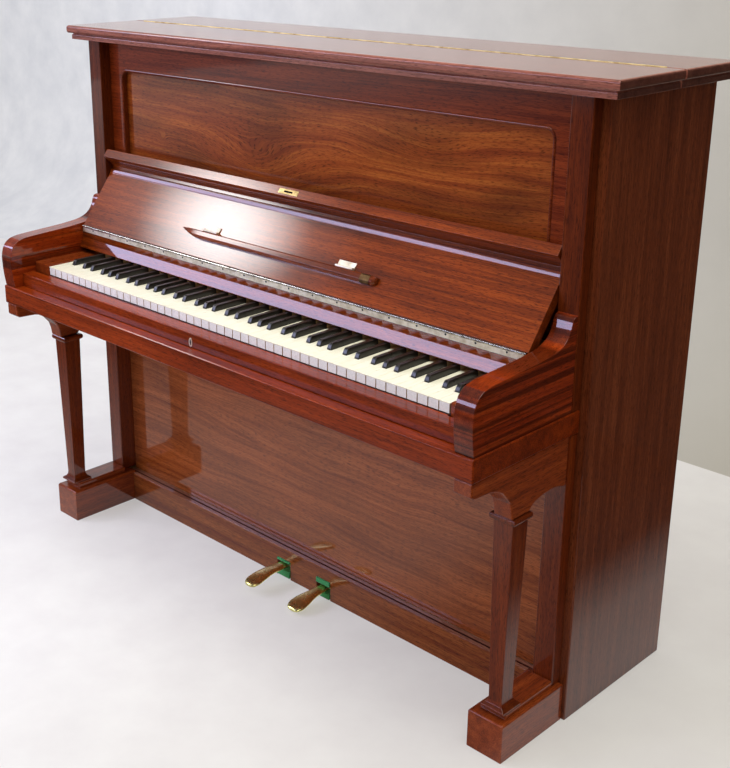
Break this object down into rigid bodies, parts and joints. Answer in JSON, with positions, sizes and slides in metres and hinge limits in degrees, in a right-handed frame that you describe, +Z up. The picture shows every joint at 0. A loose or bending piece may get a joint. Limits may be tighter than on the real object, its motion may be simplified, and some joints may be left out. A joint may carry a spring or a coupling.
{
  "type": "upright piano",
  "caption": "Cottage upright piano in polished mahogany with an open fall over the keys, tapered front legs, a flame-figured top door and brass pedals.",
  "frame": {"origin": "on the floor, in the middle of the width and of the depth", "axes": "+X to the player's right, +Y from the keyboard to the back, +Z up"},
  "size_m": [1.4872, 0.636, 1.2027],
  "materials": {
    "mahogany": "French polished, gloss",
    "figured_mahogany": "French polished flame figure, gloss",
    "ivory_key": "ivory-faced lime wood, satin gloss",
    "ebony_key": "ebony, satin gloss",
    "brass": "polished",
    "nickel": "nickel plated, aged",
    "bronzed_iron": "bronzed",
    "spruce": "varnished spruce",
    "beech": "oiled beech"
  },
  "bodies": {
    "case": {"left_side": "mahogany", "right_side": "mahogany", "left_upper_pilaster": "mahogany", "right_upper_pilaster": "mahogany", "left_lower_pilaster": "mahogany", "right_lower_pilaster": "mahogany", "top_door_frame": "mahogany", "top_door_panel": "figured_mahogany", "top_door_sill": "beech", "kick_rail": "mahogany", "bottom_board": "spruce", "bottom_door": "figured_mahogany", "lid_back": "mahogany", "lid_hinge": "brass", "keybed": "mahogany", "key_slip": "mahogany", "left_key_block": "mahogany", "right_key_block": "mahogany", "left_arm": "mahogany", "right_arm": "mahogany", "key_frame": "ivory_key", "name_strip": "mahogany", "fall_hinge": "nickel", "left_leg_bracket": "mahogany", "right_leg_bracket": "mahogany", "left_leg_column": "mahogany", "right_leg_column": "mahogany", "left_toe_block": "mahogany", "right_toe_block": "mahogany", "left_pedal_bracket": "bronzed_iron", "right_pedal_bracket": "bronzed_iron", "back_frame": "spruce", "soundboard": "spruce", "wrest_plank": "beech", "iron_frame": "bronzed_iron"},
    "lid_flap": {"lid_flap": "mahogany"},
    "fall": {"fallboard": "mahogany", "ledge_hinge_left": "brass", "ledge_hinge_right": "brass"},
    "music_ledge": {"music_ledge": "mahogany"},
    "left_pedal": {"left_pedal": "brass"},
    "right_pedal": {"right_pedal": "brass"},
    "left_lever": {"left_trap_lever": "beech"},
    "right_lever": {"right_trap_lever": "beech"},
    "left_rod": {"left_lift_rod": "beech"},
    "right_rod": {"right_lift_rod": "beech"},
    "hammers": {"hammer_rail": "beech"},
    "dampers": {"damper_rail": "beech"},
    "white_key_C": {"white_key_C": "ivory_key"},
    "white_key_D": {"white_key_D": "ivory_key"},
    "white_key_E": {"white_key_E": "ivory_key"},
    "white_key_F": {"white_key_F": "ivory_key"},
    "white_key_G": {"white_key_G": "ivory_key"},
    "white_key_A": {"white_key_A": "ivory_key"},
    "white_key_B": {"white_key_B": "ivory_key"},
    "black_key_C": {"black_key_C": "ebony_key"},
    "black_key_D": {"black_key_D": "ebony_key"},
    "black_key_F": {"black_key_F": "ebony_key"},
    "black_key_G": {"black_key_G": "ebony_key"},
    "black_key_A": {"black_key_A": "ebony_key"}
  },
  "joints": [
    {"name": "lid_flap_hinge", "type": "hinge", "parent": "case", "child": "lid_flap", "pos_m": [0, 0.1364, 1.2005], "axis": [-1, 0, 0], "range_deg": [0, 170]},
    {"name": "fall_hinge_turn", "type": "hinge", "parent": "case", "child": "fall", "pos_m": [0, -0.11903, 0.744], "axis": [1, 0, 0], "range_deg": [0, 140]},
    {"name": "music_ledge_turn", "type": "hinge", "parent": "fall", "child": "music_ledge", "pos_m": [0, -0.08578, 0.79902], "axis": [-1, 0, 0], "range_deg": [0, 90]},
    {"name": "left_pedal_press", "type": "hinge", "parent": "case", "child": "left_pedal", "pos_m": [-0.053, 0.018, 0.034], "axis": [1, 0, 0], "range_deg": [0, 5], "stiffness_Nm_per_rad": 20, "springref_deg": -8.59},
    {"name": "right_pedal_press", "type": "hinge", "parent": "case", "child": "right_pedal", "pos_m": [0.074, 0.018, 0.034], "axis": [1, 0, 0], "range_deg": [0, 2.6], "stiffness_Nm_per_rad": 20, "springref_deg": -8.59},
    {"name": "left_lever_turn", "type": "hinge", "parent": "case", "child": "left_lever", "pos_m": [0.6, 0.068, 0.0883], "axis": [0, 1, 0], "range_deg": [0, 0.393]},
    {"name": "left_rod_lift", "type": "slide", "parent": "case", "child": "left_rod", "axis": [0, 0, 1], "range_m": [0, 0.00822]},
    {"name": "right_lever_turn", "type": "hinge", "parent": "case", "child": "right_lever", "pos_m": [0.6, 0.093, 0.0883], "axis": [0, 1, 0], "range_deg": [0, 0.381]},
    {"name": "right_rod_lift", "type": "slide", "parent": "case", "child": "right_rod", "axis": [0, 0, 1], "range_m": [0, 0.00812]},
    {"name": "hammer_rail_turn", "type": "hinge", "parent": "case", "child": "hammers", "pos_m": [0, 0.118, 0.8], "axis": [1, 0, 0], "range_deg": [-9.7, 0]},
    {"name": "damper_rail_turn", "type": "hinge", "parent": "case", "child": "dampers", "pos_m": [0, 0.128, 0.77], "axis": [1, 0, 0], "range_deg": [0, 7.2]},
    {"name": "white_key_C_press", "type": "hinge", "parent": "case", "child": "white_key_C", "pos_m": [0, -0.049, 0.6612], "axis": [1, 0, 0], "range_deg": [0, 2.6], "stiffness_Nm_per_rad": 1, "springref_deg": -6.88},
    {"name": "white_key_D_press", "type": "hinge", "parent": "case", "child": "white_key_D", "pos_m": [0, -0.049, 0.6612], "axis": [1, 0, 0], "range_deg": [0, 2.6], "stiffness_Nm_per_rad": 1, "springref_deg": -6.88},
    {"name": "white_key_E_press", "type": "hinge", "parent": "case", "child": "white_key_E", "pos_m": [0, -0.049, 0.6612], "axis": [1, 0, 0], "range_deg": [0, 2.6], "stiffness_Nm_per_rad": 1, "springref_deg": -6.88},
    {"name": "white_key_F_press", "type": "hinge", "parent": "case", "child": "white_key_F", "pos_m": [0, -0.049, 0.6612], "axis": [1, 0, 0], "range_deg": [0, 2.6], "stiffness_Nm_per_rad": 1, "springref_deg": -6.88},
    {"name": "white_key_G_press", "type": "hinge", "parent": "case", "child": "white_key_G", "pos_m": [0, -0.049, 0.6612], "axis": [1, 0, 0], "range_deg": [0, 2.6], "stiffness_Nm_per_rad": 1, "springref_deg": -6.88},
    {"name": "white_key_A_press", "type": "hinge", "parent": "case", "child": "white_key_A", "pos_m": [0, -0.049, 0.6612], "axis": [1, 0, 0], "range_deg": [0, 2.6], "stiffness_Nm_per_rad": 1, "springref_deg": -6.88},
    {"name": "white_key_B_press", "type": "hinge", "parent": "case", "child": "white_key_B", "pos_m": [0, -0.049, 0.6612], "axis": [1, 0, 0], "range_deg": [0, 2.6], "stiffness_Nm_per_rad": 1, "springref_deg": -6.88},
    {"name": "black_key_C_press", "type": "hinge", "parent": "case", "child": "black_key_C", "pos_m": [0, -0.049, 0.6612], "axis": [1, 0, 0], "range_deg": [0, 2.6], "stiffness_Nm_per_rad": 1, "springref_deg": -6.88},
    {"name": "black_key_D_press", "type": "hinge", "parent": "case", "child": "black_key_D", "pos_m": [0, -0.049, 0.6612], "axis": [1, 0, 0], "range_deg": [0, 2.6], "stiffness_Nm_per_rad": 1, "springref_deg": -6.88},
    {"name": "black_key_F_press", "type": "hinge", "parent": "case", "child": "black_key_F", "pos_m": [0, -0.049, 0.6612], "axis": [1, 0, 0], "range_deg": [0, 2.6], "stiffness_Nm_per_rad": 1, "springref_deg": -6.88},
    {"name": "black_key_G_press", "type": "hinge", "parent": "case", "child": "black_key_G", "pos_m": [0, -0.049, 0.6612], "axis": [1, 0, 0], "range_deg": [0, 2.6], "stiffness_Nm_per_rad": 1, "springref_deg": -6.88},
    {"name": "black_key_A_press", "type": "hinge", "parent": "case", "child": "black_key_A", "pos_m": [0, -0.049, 0.6612], "axis": [1, 0, 0], "range_deg": [0, 2.6], "stiffness_Nm_per_rad": 1, "springref_deg": -6.88}
  ],
  "couplings": [
    {"joint": "left_lever_turn", "follows": "left_pedal_press", "ratio": 0.07657},
    {"joint": "left_rod_lift", "follows": "left_pedal_press", "m_per_rad": 0.093032},
    {"joint": "right_lever_turn", "follows": "right_pedal_press", "ratio": 0.14259},
    {"joint": "right_rod_lift", "follows": "right_pedal_press", "m_per_rad": 0.17681},
    {"joint": "hammer_rail_turn", "follows": "left_pedal_press", "ratio": -1.92},
    {"joint": "damper_rail_turn", "follows": "right_pedal_press", "ratio": 2.75}
  ]
}
